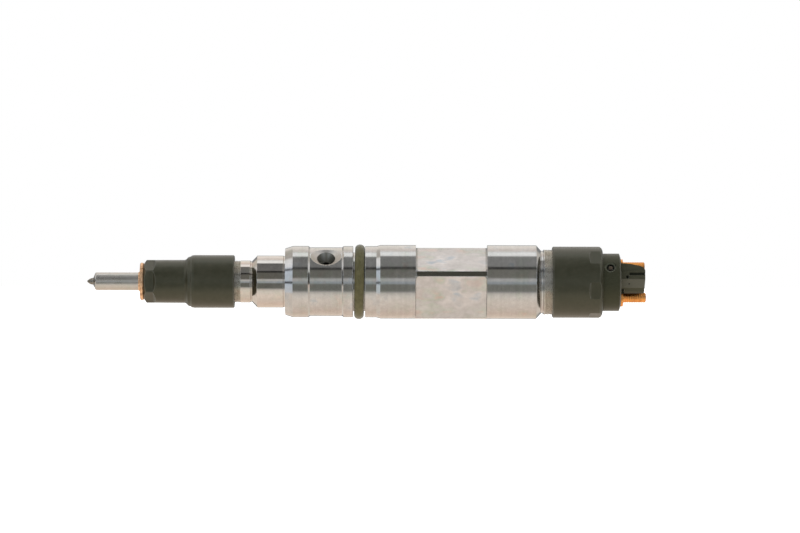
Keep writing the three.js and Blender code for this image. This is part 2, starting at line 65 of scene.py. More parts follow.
BODY_OF = {node: owner for owner, nodes in record["behaviour"]["bodies"].items() for node in nodes}

MM = 0.001
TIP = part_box("nozzle_body")[0].x
BODY_SIDES = 224
SMALL_SIDES = 96
DRILL_SIDES = 40
EDGE_BREAK = 0.07
NOTHING = 1e-6

# ---- dimensions, mm and degrees ----

FLATS = ((131.4, 159.9, 64.2), (131.2, 159.7, -38.2))  # start, end and angle
FLAT_HEIGHT = 9.98
BODY_RADIUS = 14.725
INLET_STATION = 95.6
INLET_ANGLE = 48.0
DRAIN_ANGLE = INLET_ANGLE + 180.0
PRESSURE_OFFSET = 5.6
DRAIN_OFFSET = 8.95
JOINT_FACE = 47.0  # where the nozzle and the body meet
DOWEL_ANGLES = (INLET_ANGLE + 90, INLET_ANGLE - 100)
DOWEL_OFFSET = 5.4
TERMINAL_OFFSET = 6.1
CAP_FACE = 213.2
PLUG_STATION = 208.9
PLUG_ANGLE = 32.5


# ---- outlines ----


def outline(points, edge=EDGE_BREAK, closed=True):
    """Rounds the corners of an outline of (u, v[, radius]) points.

    Returns the corners and, for each stretch between two of them, the outward normals at its two ends.
    """
    least_turn, turn_step, side_share, smooth_limit = 0.02, 0.3, 0.48, 0.93
    flat = [tuple(p) + (edge,) if len(p) == 2 else tuple(p) for p in points]
    area = sum(a[0] * b[1] - b[0] * a[1] for a, b in zip(flat, flat[1:] + flat[:1]))
    if area > 0:
        flat.reverse()
    count = len(flat)
    corners, bends = [], []
    for i, (u, v, radius) in enumerate(flat):
        here = np.array((u, v))
        is_end = not closed and i in (0, count - 1)
        before = here - np.array(flat[i - 1][:2])
        after = np.array(flat[(i + 1) % count][:2]) - here
        long_before, long_after = np.linalg.norm(before), np.linalg.norm(after)
        cosine = np.dot(before, after) / max(long_before * long_after, 1e-12)
        turn = acos(max(-1.0, min(1.0, cosine)))
        if is_end or radius <= 0 or turn < least_turn:
            corners.append(here)
            bends.append(None)
            continue
        reach = min(radius * tan(turn / 2), side_share * long_before, side_share * long_after)
        start = here - before / long_before * reach
        n0 = np.array((-before[1], before[0])) / long_before
        n1 = np.array((-after[1], after[0])) / long_after
        side = copysign(1.0, before[0] * after[1] - before[1] * after[0])
        bend = reach / tan(turn / 2)
        centre = start + n0 * bend * side
        steps = max(2, ceil(turn / turn_step))
        for k in range(steps + 1):
            t = turn * k / steps
            normal = (n0 * sin(turn - t) + n1 * sin(t)) / sin(turn)
            corners.append(centre - normal * bend * side)
            bends.append(normal)
    corners = np.array(corners)
    total = len(corners)
    stretches = []
    for i in range(total if closed else total - 1):
        j = (i + 1) % total
        along = corners[j] - corners[i]
        normal = np.array((-along[1], along[0])) / max(np.linalg.norm(along), 1e-12)
        pair = []
        for bend in (bends[i], bends[j]):
            smooth = bend is not None and np.dot(bend, normal) > smooth_limit
            pair.append(bend if smooth else normal)
        stretches.append(pair)
    return corners, stretches


# ---- meshes that carry their normals ----


def shade_of(mesh):
    values = np.zeros(len(mesh.loops) * 3, np.float32)
    mesh.attributes["shade"].data.foreach_get("vector", values)
    return values.reshape(-1, 3)


def set_shade(mesh, normals):
    mesh.attributes["shade"].data.foreach_set("vector", np.asarray(normals, np.float32).ravel())


def unit(normals):
    return normals / np.maximum(np.linalg.norm(normals, axis=1, keepdims=True), 1e-9)


def mesh_from(vertices, faces, normals, material):
    mesh = bpy.data.meshes.new("piece")
    mesh.from_pydata([tuple(v) for v in vertices], [], faces)
    mesh.attributes.new("shade", "FLOAT_VECTOR", "CORNER")
    set_shade(mesh, normals)
    mesh.materials.append(material)
    return mesh


def thread_cut(station, angle, thread):
    """Depth of a screw thread under its crest, and how it changes along the station and the angle."""
    start, end, depth, pitch = thread

    def depth_at(s, a):
        phase = (s / pitch - a / (2 * pi)) % 1.0
        groove = np.clip(1.25 - np.abs(phase - 0.5) * 3.4, 0, 1)
        fade = np.clip(np.minimum(s - start, end - s) / (0.6 * pitch), 0, 1)
        return depth * groove * fade

    step = 1e-3
    along = (depth_at(station + step, angle) - depth_at(station - step, angle)) / (2 * step)
    around = (depth_at(station, angle + step) - depth_at(station, angle - step)) / (2 * step)
    return depth_at(station, angle), along, around


def lathe(profile, material, sides=BODY_SIDES, edge=EDGE_BREAK, threads=(), finishes=()):
    """A solid of revolution about the X axis from (station, radius[, corner radius]) points.

    threads are (start, end, depth, pitch) stretches of the outside, cut under the radius they are on.
    finishes are (start, end, least radius, material) stretches with a finish of their own.
    """
    on_axis = profile[0][1] == 0
    rows_per_pitch = 14
    corners, stretches = outline(profile, edge, closed=not on_axis)
    stations, radii, pairs = [], [], []
    for i, (n0, n1) in enumerate(stretches):
        a, b = corners[i], corners[(i + 1) % len(corners)]
        cuts = [0.0]
        for start, end, _, pitch in threads:
            middle = (a + b) / 2
            if a[1] == b[1] and b[0] > a[0] and start - 0.1 < middle[0] < end + 0.1:
                count = max(1, ceil((b[0] - a[0]) / pitch * rows_per_pitch))
                cuts = [k / count for k in range(count)]
        for t, t_next in zip(cuts, cuts[1:] + [1.0]):
            point = a + (b - a) * t
            stations.append(point[0])
            radii.append(point[1])
            pairs.append((n0 + (n1 - n0) * t, n0 + (n1 - n0) * t_next))
    if on_axis:
        stations.append(corners[-1][0])
        radii.append(corners[-1][1])

    angles = np.arange(sides) * 2 * pi / sides
    zero = np.zeros(sides)
    out = np.stack([zero, -np.cos(angles), np.sin(angles)], 1)
    sideways = np.stack([zero, np.sin(angles), np.cos(angles)], 1)
    rows, vertices, slopes = [], [], []
    for s, r in zip(stations, radii):
        first = len(vertices)
        if r < NOTHING:
            rows.append(np.full(sides, first))
            vertices.append((s, 0.0, 0.0))
            slopes.append(None)
            continue
        radius = np.full(sides, r)
        slope = None
        for thread in threads:
            if thread[0] <= s <= thread[1]:
                depth, along, around = thread_cut(np.full(sides, s), angles, thread)
                radius = radius - depth
                slope = (along, around / radius)
        rows.append(np.arange(first, first + sides))
        slopes.append(slope)
        vertices += (out * radius[:, None] + np.array((s, 0.0, 0.0))).tolist()

    def facing(row, direction):
        axial, radial = direction
        if slopes[row] is not None and radial > 0.99:
            along, around = slopes[row]
            normals = out + sideways * around[:, None]
            normals[:, 0] += along
        else:
            normals = out * radial
            normals[:, 0] = axial
        return unit(normals)

    kinds = list(dict.fromkeys([material] + [finish[3] for finish in finishes]))
    faces, normals, chosen = [], [], []
    for i, (direction, next_direction) in enumerate(pairs):
        k = (i + 1) % len(rows)
        if radii[i] < NOTHING and radii[k] < NOTHING:
            continue
        here, there = facing(i, direction), facing(k, next_direction)
        loop = [(rows[i], here), (rows[k], there)]
        if radii[k] >= NOTHING:
            loop.append((np.roll(rows[k], -1), np.roll(there, -1, axis=0)))
        if radii[i] >= NOTHING:
            loop.append((np.roll(rows[i], -1), np.roll(here, -1, axis=0)))
        faces += np.stack([corner for corner, _ in loop], 1).tolist()
        normals.append(np.stack([normal for _, normal in loop], 1).reshape(-1, 3))
        kind = 0
        for start, end, least, finish in finishes:
            inside = start <= min(stations[i], stations[k]) and max(stations[i], stations[k]) <= end
            if inside and min(radii[i], radii[k]) >= least:
                kind = kinds.index(finish)
        chosen += [kind] * sides
    mesh = mesh_from(vertices, faces, np.concatenate(normals), material)
    for finish in kinds[1:]:
        mesh.materials.append(finish)
    mesh.polygons.foreach_set("material_index", chosen)
    return mesh


def prism(points, depth, plane, material):
    """An outline of (u, v[, corner radius]) points, pushed to both sides of its plane by depth / 2."""
    corners, stretches = outline(points, 0.0)
    count = len(corners)
    half = depth / 2
    vertices = [(u, v, w) for w in (half, -half) for u, v in corners]
    faces, normals = [], []
    for i, (n0, n1) in enumerate(stretches):
        j = (i + 1) % count
        faces.append([i, j, count + j, count + i])
        normals += [(*n0, 0), (*n1, 0), (*n1, 0), (*n0, 0)]
    faces.append(list(range(count - 1, -1, -1)))
    faces.append(list(range(count, 2 * count)))
    normals += [(0, 0, 1)] * count + [(0, 0, -1)] * count
    return placed(mesh_from(vertices, faces, normals, material), plane)


def placed(mesh, matrix):
    """The mesh moved by a matrix, with its normals."""
    mesh.transform(matrix)
    set_shade(mesh, shade_of(mesh) @ np.array(matrix.to_3x3()).T)
    if matrix.to_3x3().determinant() < 0:
        mesh.flip_normals()
    return mesh


def outward(angle):
    turn = radians(angle)
    return Vector((0.0, -cos(turn), sin(turn)))


def at(station, distance, angle):
    return Vector((station, 0, 0)) + outward(angle) * distance


def axes(u, v, origin=(0, 0, 0)):
    w = Vector(u).cross(Vector(v))
    matrix = Matrix((Vector(u), Vector(v), w)).transposed().to_4x4()
    matrix.translation = Vector(origin)
    return matrix


def side_axes(angle):
    """Plane of the station and the distance from the axis, at an angle."""
    return axes((1, 0, 0), outward(angle))


def upright_axes(origin=(0, 0, 0)):
    """Plane of the station and the height."""
    return axes((1, 0, 0), (0, 0, 1), origin)


def inward_axes(station, angle, height=0.0):
    """Places a lathe so that its stations are distances from the injector's axis."""
    return axes(outward(angle), (1, 0, 0), (station, 0, height))


def drill(start, end, radius, material, sides=DRILL_SIDES):
    """A round bar between two points, to cut a hole with."""
    along = Vector(end) - Vector(start)
    helper = Vector((0, 0, 1)) if abs(along.normalized().z) < 0.9 else Vector((0, 1, 0))
    v = helper.cross(along).normalized()
    bar = lathe([(0, 0), (0, radius), (along.length, radius), (along.length, 0)], material, sides, 0)
    return placed(bar, axes(along.normalized(), v, start))


# ---- cutting and joining ----


def linked(name, data):
    made = bpy.data.objects.new(name, data)
    bpy.context.scene.collection.objects.link(made)
    return made


def combined(base, steps):
    """Cuts, joins or intersects a base with meshes, in order, by ("DIFFERENCE", mesh) and so on."""
    target = linked("target", base)
    tools = []
    for operation, mesh in steps:
        if operation == "DIFFERENCE":
            set_shade(mesh, -shade_of(mesh))
        tools.append(linked("tool", mesh))
        modifier = target.modifiers.new("step", "BOOLEAN")
        modifier.operation = operation
        modifier.object = tools[-1]
        modifier.solver = "MANIFOLD"
        modifier.material_mode = "TRANSFER"
    graph = bpy.context.evaluated_depsgraph_get()
    result = target.evaluated_get(graph)
    mesh = bpy.data.meshes.new_from_object(result, preserve_all_data_layers=True, depsgraph=graph)
    for item in [target] + tools:
        old = item.data
        bpy.data.objects.remove(item)
        bpy.data.meshes.remove(old)
    return mesh


def cut(base, *tools):
    return combined(base, [("DIFFERENCE", tool) for tool in tools])


def finished(name, mesh, node):
    """Turns a mesh in millimetres into a piece of the injector that stands for a CAD node.

    A corner whose normal strays too far from its face takes the face's own.
    """
    mesh.name = name
    normals = shade_of(mesh)
    faces = np.zeros(len(mesh.polygons) * 3, np.float32)
    mesh.polygons.foreach_get("normal", faces)
    totals = np.zeros(len(mesh.polygons), np.int32)
    mesh.polygons.foreach_get("loop_total", totals)
    facing = np.repeat(faces.reshape(-1, 3), totals, axis=0)
    stray = np.einsum("ij,ij->i", normals, facing) < 0.3
    normals = unit(np.where(stray[:, None], facing, normals))
    mesh.transform(Matrix.Translation((TIP, 0, 0)) @ Matrix.Scale(MM, 4))
    mesh.attributes.remove(mesh.attributes["shade"])
    mesh.shade_smooth()
    mesh.normals_split_custom_set(normals)
    piece = linked(name, mesh)
    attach(piece, BODY_OF[node])
    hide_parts(node)
    return piece


# ---- materials ----


class Graph:
    """Short way to write a node tree: calling it adds a node and wires its inputs."""

    def __init__(self, tree):
        self.tree = tree
        tree.nodes.clear()

    def __call__(self, kind, settings=None, **inputs):
        """Inputs go by name, with _ for a space, or by number as in0, in1."""
        added = self.tree.nodes.new("ShaderNode" + kind)
        for key, value in (settings or {}).items():
            setattr(added, key, value)
        for key, value in inputs.items():
            numbered = key.startswith("in") and key[2:].isdigit()
            socket = added.inputs[int(key[2:]) if numbered else key.replace("_", " ")]
            if isinstance(value, bpy.types.NodeSocket):
                self.tree.links.new(value, socket)
            else:
                socket.default_value = (*value, 1) if socket.type == "RGBA" else value
        return added

    def math(self, operation, a, b=0.0, c=0.0, clamp=False):
        return self("Math", {"operation": operation, "use_clamp": clamp}, in0=a, in1=b, in2=c).outputs[0]

    def stretched(self, place, factors):
        return self("VectorMath", {"operation": "MULTIPLY"}, Vector=place, in1=factors).outputs[0]

    def ramp(self, value, stops):
        """Colour by value, from (place, colour) stops in rising order."""
        made = self("ValToRGB", Fac=value)
        elements = made.color_ramp.elements
        for _ in stops[2:]:
            elements.new(0.5)
        for element, (place, colour) in zip(elements, stops):
            element.position = place
            element.color = (*colour, 1)
        return made.outputs["Color"]

    def mix(self, share, a, b, blend="MIX"):
        return self("Mix", {"data_type": "RGBA", "blend_type": blend}, in0=share, in6=a, in7=b).outputs[2]

    def grey(self, value):
        return self("CombineColor", in0=value, in1=value, in2=value).outputs[0]

    def noise(self, place, scale, detail, rough, seed):
        """Noise through space, or along a line where the place is a single coordinate."""
        if place.type == "VECTOR":
            dimensions, where = "4D", {"Vector": place, "W": seed}
        else:
            dimensions, where = "1D", {"W": self.math("ADD", place, seed)}
        where.update(Scale=scale, Detail=detail, Roughness=rough)
        return self("TexNoise", {"noise_dimensions": dimensions}, **where).outputs[0]

    def remap(self, value, low, high, to_low=0.0, to_high=1.0, kind="LINEAR"):
        settings = {"interpolation_type": kind}
        made = self("MapRange", settings, Value=value, in1=low, in2=high, in3=to_low, in4=to_high)
        return made.outputs[0]

    def spread(self, value, low, high):
        """Maps the middle of a noise to a range."""
        return self.remap(value, 0.3, 0.7, low, high)

    def step(self, value, low, high):
        """Rises smoothly from 0 to 1 as the value goes from low to high."""
        return self.remap(value, low, high, kind="SMOOTHSTEP")

    def bump(self, height, distance, strength, rounding=0.0):
        """A normal from a height of 0 to 1, distance high in millimetres, with the sharp edges eased."""
        inputs = {"Height": height, "Strength": strength, "Distance": distance * MM}
        if rounding:
            inputs["Normal"] = self("Bevel", {"samples": 4}, Radius=rounding * MM).outputs[0]
        return self("Bump", **inputs).outputs[0]

    def worn_edges(self, width):
        """How sharply the surface turns within a width in millimetres: 0 on plain surface, 1 on edges."""
        eased = self("Bevel", {"samples": 8}, Radius=width * MM).outputs[0]
        true = self("NewGeometry").outputs["Normal"]
        along = self("VectorMath", {"operation": "DOT_PRODUCT"}, in0=eased, in1=true).outputs["Value"]
        return self.remap(along, 0.998, 0.96)

    def surface(self, **inputs):
        return self("BsdfPrincipled", **inputs).outputs[0]


LOOKS = {}


def material(name, build):
    """A material whose build function gets the place and its coordinates in millimetres."""
    made = LOOKS[name] = bpy.data.materials.new(name)
    made.use_nodes = True
    graph = Graph(made.node_tree)
    metres = graph("TexCoord").outputs["Object"]
    place = graph("VectorMath", {"operation": "SCALE"}, Vector=metres, Scale=1 / MM).outputs[0]
    xyz = graph("SeparateXYZ", Vector=place).outputs
    graph("OutputMaterial", Surface=build(graph, place, xyz))
    return made


def steel(name, colour, rough, rings=1.0, clouds=0.35, grain=4.5, cloud_size=0.11, soot=0.0, smooth=False):
    """Machined steel: fine rings, handling marks and pale heat and oil clouds, sooty below a station.

    Smooth steel has soft clouds, drawn out along the injector, and few marks.
    """

    def tinted(*shares):
        return tuple(c * share for c, share in zip(colour, shares))

    def build(graph, place, xyz):
        x = xyz[0]
        detail = 1.5 if smooth else 4
        cloud_place = graph.stretched(place, (0.6, 1, 1)) if smooth else place
        fine = graph.noise(x, grain, 4, 0.7, 11)
        broad = graph.noise(x, 0.5, 3, 0.6, 37)
        haze = graph.noise(cloud_place, 0.16, detail, 0.6, 2)
        tint = graph.noise(cloud_place, cloud_size, detail, 0.6, 9)
        smear = graph.noise(place, 0.3 if smooth else 0.6, detail + 1, 0.65, 5)
        cool, pale = tinted(0.8, 0.93, 1.04), tinted(1.14, 1.14, 1.14)
        green, warm = tinted(0.9, 0.99, 0.9), tinted(1.06, 0.91, 0.83)
        stain = graph.ramp(tint, [(0.34, cool), (0.43, pale), (0.5, colour), (0.57, green), (0.66, warm)])
        base = graph.mix(graph.spread(haze, 0, clouds), colour, stain)
        marks = graph.spread(smear, 1 - 0.08 * clouds - 0.02, 1.02 + 0.06 * clouds)
        lines = graph.math("MULTIPLY", marks, graph.spread(broad, 1 - 0.04 * rings, 1 + 0.03 * rings))
        base = graph.mix(1.0, base, graph.grey(lines), "MULTIPLY")
        if soot:
            reach = graph.step(x, TIP / MM + soot - 0.6, TIP / MM + soot + 0.4)
            base = graph.mix(reach, (0.24, 0.215, 0.175), base)
        sheen = graph.spread(haze, rough * 0.8, rough * 1.25)
        roughness = graph.math("ADD", sheen, graph.spread(fine, -0.02 * rings, 0.03 * rings), clamp=True)
        normal = graph.bump(fine, 0.0012 * rings, 1.0, 0.12)
        return graph.surface(Base_Color=base, Metallic=1.0, Roughness=roughness, Normal=normal)

    return material(name, build)


def black_oxide(graph, place, xyz):
    """Blackened steel: fine crystals over turned rings, an olive cast, edges rubbed paler."""
    crystals = graph.noise(place, 9.0, 3, 0.7, 1)
    patches = graph.noise(place, 0.35, 4, 0.6, 4)
    rings = graph.noise(xyz[0], 3.2, 3, 0.7, 5)
    olives = [(0.34, (0.026, 0.025, 0.0105)), (0.52, (0.033, 0.031, 0.0145)), (0.7, (0.042, 0.038, 0.02))]
    base = graph.ramp(patches, olives)
    speck = graph.math("GREATER_THAN", graph.noise(place, 2.4, 5, 0.75, 8), 0.71)
    base = graph.mix(graph.math("MULTIPLY", speck, 0.22), base, (0.13, 0.12, 0.1))
    worn = graph.math("MULTIPLY", graph.worn_edges(0.45), graph.spread(patches, 0.4, 0.75))
    height = graph.math("ADD", graph.math("MULTIPLY", crystals, 0.6), rings)
    return graph.surface(
        Base_Color=graph.mix(worn, base, (0.19, 0.18, 0.155)),
        Roughness=graph.math("ADD", graph.spread(patches, 0.33, 0.42), graph.spread(rings, -0.05, 0.05)),
        Specular_IOR_Level=0.7,
        Specular_Tint=(1, 0.98, 0.78),
        Sheen_Weight=0.3,
        Sheen_Roughness=0.3,
        Sheen_Tint=(1, 0.97, 0.93),
        Normal=graph.bump(height, 0.006, 0.8, 0.12),
    )


def rolled_scale(graph, place, _xyz):
    """The strip that the mill and the lathe left alone: dark rolling scale, thin and slightly streaky."""
    streaks = graph.noise(graph.stretched(place, (0.15, 1.6, 1.6)), 1.0, 4, 0.6, 3)
    return graph.surface(
        Base_Color=graph.ramp(streaks, [(0.36, (0.036, 0.031, 0.016)), (0.64, (0.066, 0.058, 0.034))]),
        Roughness=graph.spread(streaks, 0.34, 0.5),
        Normal=graph.bump(graph.noise(place, 6.0, 3, 0.6, 2), 0.006, 0.8, 0.1),
    )


def copper(name, colour, dull, rough):
    """Bare copper with darker, browner patches."""

    def build(graph, place, _xyz):
        patches = graph.noise(place, 0.55, 4, 0.62, 6)
        return graph.surface(
            Base_Color=graph.ramp(patches, [(0.36, dull), (0.58, colour)]),
            Metallic=1.0,
            Roughness=graph.spread(patches, rough * 1.5, rough * 0.8),
            Normal=graph.bump(graph.noise(place, 5.0, 4, 0.6, 3), 0.012, 0.8, 0.15),
        )

    return material(name, build)


def rubber(graph, place, _xyz):
    """Moulded fluoro-rubber, satin, with a dusty bloom."""
    bloom = graph.noise(place, 0.5, 4, 0.6, 2)
    return graph.surface(
        Base_Color=graph.ramp(bloom, [(0.35, (0.11, 0.096, 0.034)), (0.65, (0.172, 0.15, 0.062))]),
        Roughness=graph.spread(bloom, 0.38, 0.55),
        Specular_IOR_Level=0.3,
        Sheen_Weight=0.85,
        Sheen_Roughness=0.3,
        Normal=graph.bump(graph.noise(place, 7.0, 3, 0.6, 7), 0.01, 0.7),
    )


def plastic(name, light, dark, rough=0.5, painted_front_light=False):
    """Glass-filled moulded plastic: short fibres near the surface and a faint skin texture.

    The outer faces of the wall between the terminals may carry painted light: they are painted paler, most in
    a band about their middle.
    """

    # painted light: share of the paler colour on the outer faces of the divider's fins, past the cap face,
    # strongest about the middle height
    def front_light_paint(graph, xyz, fibres):
        x, y, z = xyz
        past = graph.step(x, TIP / MM + CAP_FACE - 0.05, TIP / MM + CAP_FACE + 0.15)
        front = graph.step(graph.math("ABSOLUTE", y), 5.0, 5.3)
        height = graph.math("ABSOLUTE", graph.math("ADD", z, 0.4))
        level = graph.math("SUBTRACT", 1.0, graph.math("MULTIPLY", graph.step(height, 1.6, 1.9), 0.8))
        share = graph.math("MULTIPLY", graph.math("MULTIPLY", past, front), level)
        return graph.math("MULTIPLY", share, graph.spread(fibres, 0.75, 1.0))

    def build(graph, place, xyz):
        fibres = graph.noise(graph.stretched(place, (0.6, 2.4, 2.4)), 1.6, 4, 0.7, 3)
        base = graph.ramp(fibres, [(0.38, dark), (0.66, light)])
        if painted_front_light:
            # painted light on the divider's outer faces
            base = graph.mix(front_light_paint(graph, xyz, fibres), base, (0.162, 0.142, 0.102))
        return graph.surface(
            Base_Color=base,
            Roughness=graph.spread(fibres, rough * 0.85, rough * 1.15),
            Specular_IOR_Level=0.45,
            Specular_Tint=(1, 0.98, 0.62),
            Sheen_Weight=0.65,
            Sheen_Roughness=0.3,
            Sheen_Tint=(1, 0.97, 0.9),
            Normal=graph.bump(graph.noise(place, 8.0, 3, 0.6, 1), 0.012, 0.7, 0.12),
        )

    return material(name, build)


turned_steel = steel("turned_steel", (0.56, 0.535, 0.505), 0.13, 1.0, 0.7)
milled_steel = steel("milled_steel", (0.57, 0.55, 0.535), 0.22, 0.0, 1.3, 1.6, cloud_size=0.2, smooth=True)
ground_steel = steel("ground_steel", (0.56, 0.525, 0.475), 0.29, 0.15, 0.5, 7.0, soot=2.6)
polished_steel = steel("polished_steel", (0.63, 0.58, 0.53), 0.09, 0.22, 0.6)
thread_steel = steel("thread_steel", (0.47, 0.435, 0.375), 0.25, 0.6, 0.6)
# painted shade: near-black steel standing in for the shade inside the inlet bore and on the left side of the
# O-ring groove
grimy_steel = steel("grimy_steel", (0.12, 0.105, 0.075), 0.42, 0.4, 0.8)
countersink_steel = steel("countersink_steel", (0.59, 0.54, 0.48), 0.42, 0.3, 0.6)
seat_steel = steel("seat_steel", (0.29, 0.275, 0.24), 0.34, 0.3, 0.5, 3.0)
bored_steel = steel("bored_steel", (0.33, 0.31, 0.28), 0.34, 1.2, 0.4)
hard_steel = steel("hard_steel", (0.54, 0.53, 0.515), 0.18, 0.6, 0.2, 6.0)
spring_wire = steel("spring_wire", (0.36, 0.36, 0.37), 0.28, 0.3, 0.3, 2.0)
soft_iron = steel("soft_iron", (0.23, 0.22, 0.205), 0.45, 0.5, 0.5, 2.5)
black_steel = material("black_steel", black_oxide)
rolled_steel = material("rolled_steel", rolled_scale)
seal_copper = copper("seal_copper", (0.95, 0.6, 0.35), (0.5, 0.29, 0.16), 0.36)
coil_copper = copper("coil_copper", (0.62, 0.24, 0.1), (0.36, 0.13, 0.06), 0.3)
terminal_copper = copper("terminal_copper", (0.92, 0.395, 0.108), (0.7, 0.27, 0.065), 0.28)
olive_rubber = material("olive_rubber", rubber)
# the divider's outer faces carry painted light
dark_plastic = plastic("dark_plastic", (0.04, 0.039, 0.023), (0.025, 0.025, 0.013), painted_front_light=True)
# painted shade: near-black plastic standing in for the shade inside the slot, the pits and the vent well
pocket_plastic = plastic("pocket_plastic", (0.014, 0.014, 0.01), (0.008, 0.008, 0.006), 0.7)
rim_plastic = plastic("rim_plastic", (0.085, 0.085, 0.06), (0.055, 0.055, 0.036), 0.45)
bobbin_plastic = plastic("bobbin_plastic", (0.6, 0.54, 0.42), (0.48, 0.42, 0.31))
plug_sealant = plastic("plug_sealant", (0.105, 0.066, 0.048), (0.06, 0.038, 0.028), 0.45)


# ---- nozzle end ----


def bore(angle, start, end, radius, finish=bored_steel, sides=DRILL_SIDES):
    """A drill between two places (station, distance from the axis) at an angle."""
    return drill(at(*start, angle), at(*end, angle), radius, finish, sides)


SHOULDER = 29.0  # where the nozzle hangs in its nut
SEAL_FACE = 22.72  # where the nut bears on the copper seal


def dowel_holes():
    start, end = (JOINT_FACE - 2.8, DOWEL_OFFSET), (JOINT_FACE + 2.8, DOWEL_OFFSET)
    return [bore(angle, start, end, 0.85) for angle in DOWEL_ANGLES]


def nozzle():
    shank, collar, guide, gallery = 3.55, 7.15, 1.95, 3.3
    profile = [
        (0, 0), (0.02, 0.3, 0.2), (0.45, 0.6, 0.5), (0.85, 0.9, 0.6), (1.25, 1.12, 0.6), (2.0, 1.3, 0.5),
        (2.45, 1.45, 0.25), (2.8, 2.3, 0.4), (3.2, 3.3, 0.4), (3.6, shank, 0.3), (27.8, shank, 0.6),
        (SHOULDER, 3.8, 0.1), (SHOULDER, collar, 0.2), (JOINT_FACE, collar, 0.1), (JOINT_FACE, 2.05),
        (33.5, 2.05), (32.8, gallery), (30.6, gallery), (30, guide), (5.29, guide), (2.8, 0.5), (1.4, 0.5),
        (1.4, 0),
    ]
    feed = bore(INLET_ANGLE, (31.5, 2.9), (47.5, PRESSURE_OFFSET), 0.8)
    holes = 7
    spray = [bore(k * 360 / holes, (2.0, 0.35), (1.5, 2.4), 0.1, sides=12) for k in range(holes)]
    shell = lathe(profile, ground_steel, SMALL_SIDES)
    finished("nozzle", cut(shell, feed, *spray, *dowel_holes()), "nozzle_body")


def washer():
    profile = [
        (20.5, 3.6), (20.5, 3.75, 0.06), (21.2, 3.95, 0.15), (21.2, 7.1, 0.35), (21.5, 7.5, 0.3),
        (22.3, 7.5, 0.35), (SEAL_FACE, 7.05, 0.3), (SEAL_FACE, 3.6),
    ]
    finished("copper_seal", lathe(profile, seal_copper, SMALL_SIDES), "sealing_washer")


def nozzle_nut():
    small, large = 8.6, 10.55
    profile = [
        (SEAL_FACE, 3.85), (SEAL_FACE, 7.05, 0.15), (23.75, small - 0.05, 0.25), (39.1, small, 0.6),
        (39.7, 8.95, 0.8), (40.4, 9.75, 0.9), (41.4, 10.0, 0.3), (41.85, 10.4, 0.03), (42.9, large, 0.5),
        (58.55, large, 0.15), (58.9, 10.2, 0.1), (58.9, 8.45), (49.9, 8.45), (49.0, 7.25),
        (SHOULDER, 7.25), (SHOULDER, 3.85),
    ]
    flat = [(21, 7.5), (26.6, 7.5, 0.6), (27.75, 8.8), (27.75, 12), (21, 12)]
    flats = [prism(flat, 14, side_axes(k * 60), black_steel) for k in range(6)]
    finished("nozzle_cap_nut", cut(lathe(profile, black_steel), *flats), "nozzle_nut")


# ---- body ----


def clamp_flats():
    """Cutters for the two milled flats, whose long edges are eased, and for the strip between them."""
    half_angle = degrees(acos(FLAT_HEIGHT / BODY_RADIUS)) / 2
    eased = BODY_RADIUS * cos(radians(half_angle)) - 0.07
    cutters = []
    for start, end, angle in FLATS:
        flat = [(start, FLAT_HEIGHT, 1.2), (end, FLAT_HEIGHT, 1.2), (end, 22), (start, 22)]
        cutters.append(prism(flat, 40, side_axes(angle), milled_steel))
        edge = [(start, eased), (end, eased), (end, 17), (start, 17)]
        for side in (-half_angle, half_angle):
            cutters.append(prism(edge, 14, side_axes(angle + side), milled_steel))
    start, end, upper = FLATS[0]
    middle = (upper + FLATS[1][2]) / 2
    strip = [(start, 14.64, 0.6), (end, 14.64, 0.6), (end, 17), (start, 17)]
    return cutters + [prism(strip, 6, side_axes(middle), rolled_steel)]


def inlet():
    """Cutter for the pressure inlet: a bore lined with painted shade, the seat cone and the countersink."""
    profile = [
        (PRESSURE_OFFSET, 0), (PRESSURE_OFFSET, 1.6), (8.95, 1.6, 0.2), (12.4, 3.6, 0.12), (15, 8.6), (15, 0),
    ]
    finishes = [(8.85, 12.45, 1.5, seat_steel), (PRESSURE_OFFSET, 8.9, 0.0, grimy_steel)]
    cutter = lathe(profile, countersink_steel, SMALL_SIDES, finishes=finishes)
    return placed(cutter, inward_axes(INLET_STATION, INLET_ANGLE))


